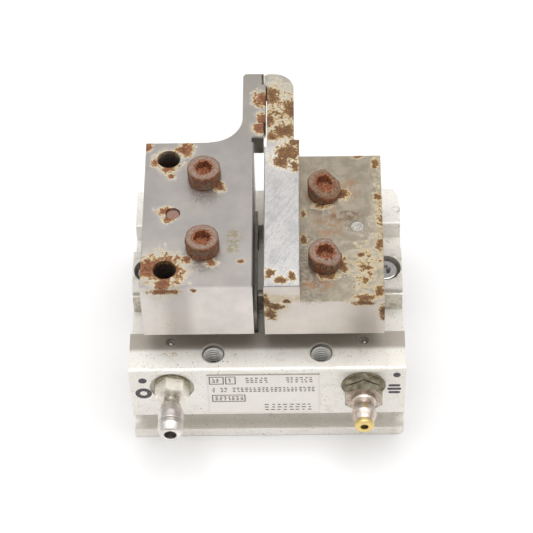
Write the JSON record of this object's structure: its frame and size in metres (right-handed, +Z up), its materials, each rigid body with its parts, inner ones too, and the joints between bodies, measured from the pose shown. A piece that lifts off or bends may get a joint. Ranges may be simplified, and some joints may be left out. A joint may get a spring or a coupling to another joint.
{
  "type": "pneumatic gripper",
  "caption": "Low flat pneumatic parallel gripper: fingers slide on a guide rail across a grooved body with two air ports, and carry bolted steel jaws with long slim tips.",
  "frame": {"origin": "centre of the body's flat base", "axes": "+Z up from the base to the jaws, -Y towards the air ports, fingers slide along X"},
  "size_m": [0.037, 0.0494, 0.031],
  "materials": {
    "body_aluminium": "clear anodised, fine matt, specked with dirt",
    "cap_aluminium": "turned and anodised",
    "rail_steel": "ground hardened steel",
    "finger_steel": "ground steel, dull and dirty",
    "piston_steel": "machined steel",
    "bright_steel": "polished steel",
    "spring_steel": "phosphated spring steel",
    "magnet": "sintered magnet",
    "jaw_steel": "ground tool steel with rust",
    "jaw_steel_worn": "ground tool steel, scratched, with rust",
    "rusted_steel": "rusted steel",
    "fitting_bright": "nickel plated, turned",
    "fitting_worn": "nickel plating, dirty and worn through to brass at the tip",
    "gasket_plastic": "dull plastic",
    "dark_plastic": "moulded",
    "seal_rubber": "matt black",
    "bumper_rubber": "matt",
    "label_film": "satin film"
  },
  "bodies": {
    "base": {"body": "body_aluminium", "base_plug": "body_aluminium", "guide_rail": "rail_steel", "rail_screws": "bright_steel", "pinion_pin": "bright_steel", "end_caps": "cap_aluminium", "cap_seals": "seal_rubber", "bumpers": "bumper_rubber", "snap_rings": "spring_steel", "passage_balls": "bright_steel", "port_fitting_left": "fitting_bright", "port_fitting_right": "fitting_worn", "fitting_gaskets": "gasket_plastic", "label_plate": "label_film"},
    "left_jaw": {"finger_left": "finger_steel", "ball_rows_left": "bright_steel", "ball_retainers_left": "dark_plastic", "drive_lug_left": "finger_steel", "piston_rear": "piston_steel", "piston_seals_rear": "seal_rubber", "jaw_left": "jaw_steel", "dowel_left": "rusted_steel", "jaw_screw_left_front": "rusted_steel", "jaw_screw_left_rear": "rusted_steel"},
    "right_jaw": {"finger_right": "finger_steel", "ball_rows_right": "bright_steel", "ball_retainers_right": "dark_plastic", "drive_lug_right": "finger_steel", "piston_front": "piston_steel", "piston_seals_front": "seal_rubber", "piston_magnet": "magnet", "jaw_right": "jaw_steel_worn", "dowel_right": "rusted_steel", "jaw_screw_right_front": "rusted_steel", "jaw_screw_right_rear": "rusted_steel"},
    "pinion": {"pinion": "piston_steel"}
  },
  "joints": [
    {"name": "left_finger_slide", "type": "slide", "parent": "base", "child": "left_jaw", "axis": [-1, 0, 0], "range_m": [0, 0.004]},
    {"name": "right_finger_slide", "type": "slide", "parent": "base", "child": "right_jaw", "axis": [1, 0, 0], "range_m": [0, 0.004]},
    {"name": "pinion_turn", "type": "hinge", "parent": "base", "child": "pinion", "pos_m": [0, 0, 0.006], "axis": [0, 0, 1], "range_deg": [0, 52.1]}
  ],
  "couplings": [
    {"joint": "right_finger_slide", "follows": "left_finger_slide", "ratio": 1},
    {"joint": "pinion_turn", "follows": "left_finger_slide", "rad_per_m": 227.27}
  ]
}
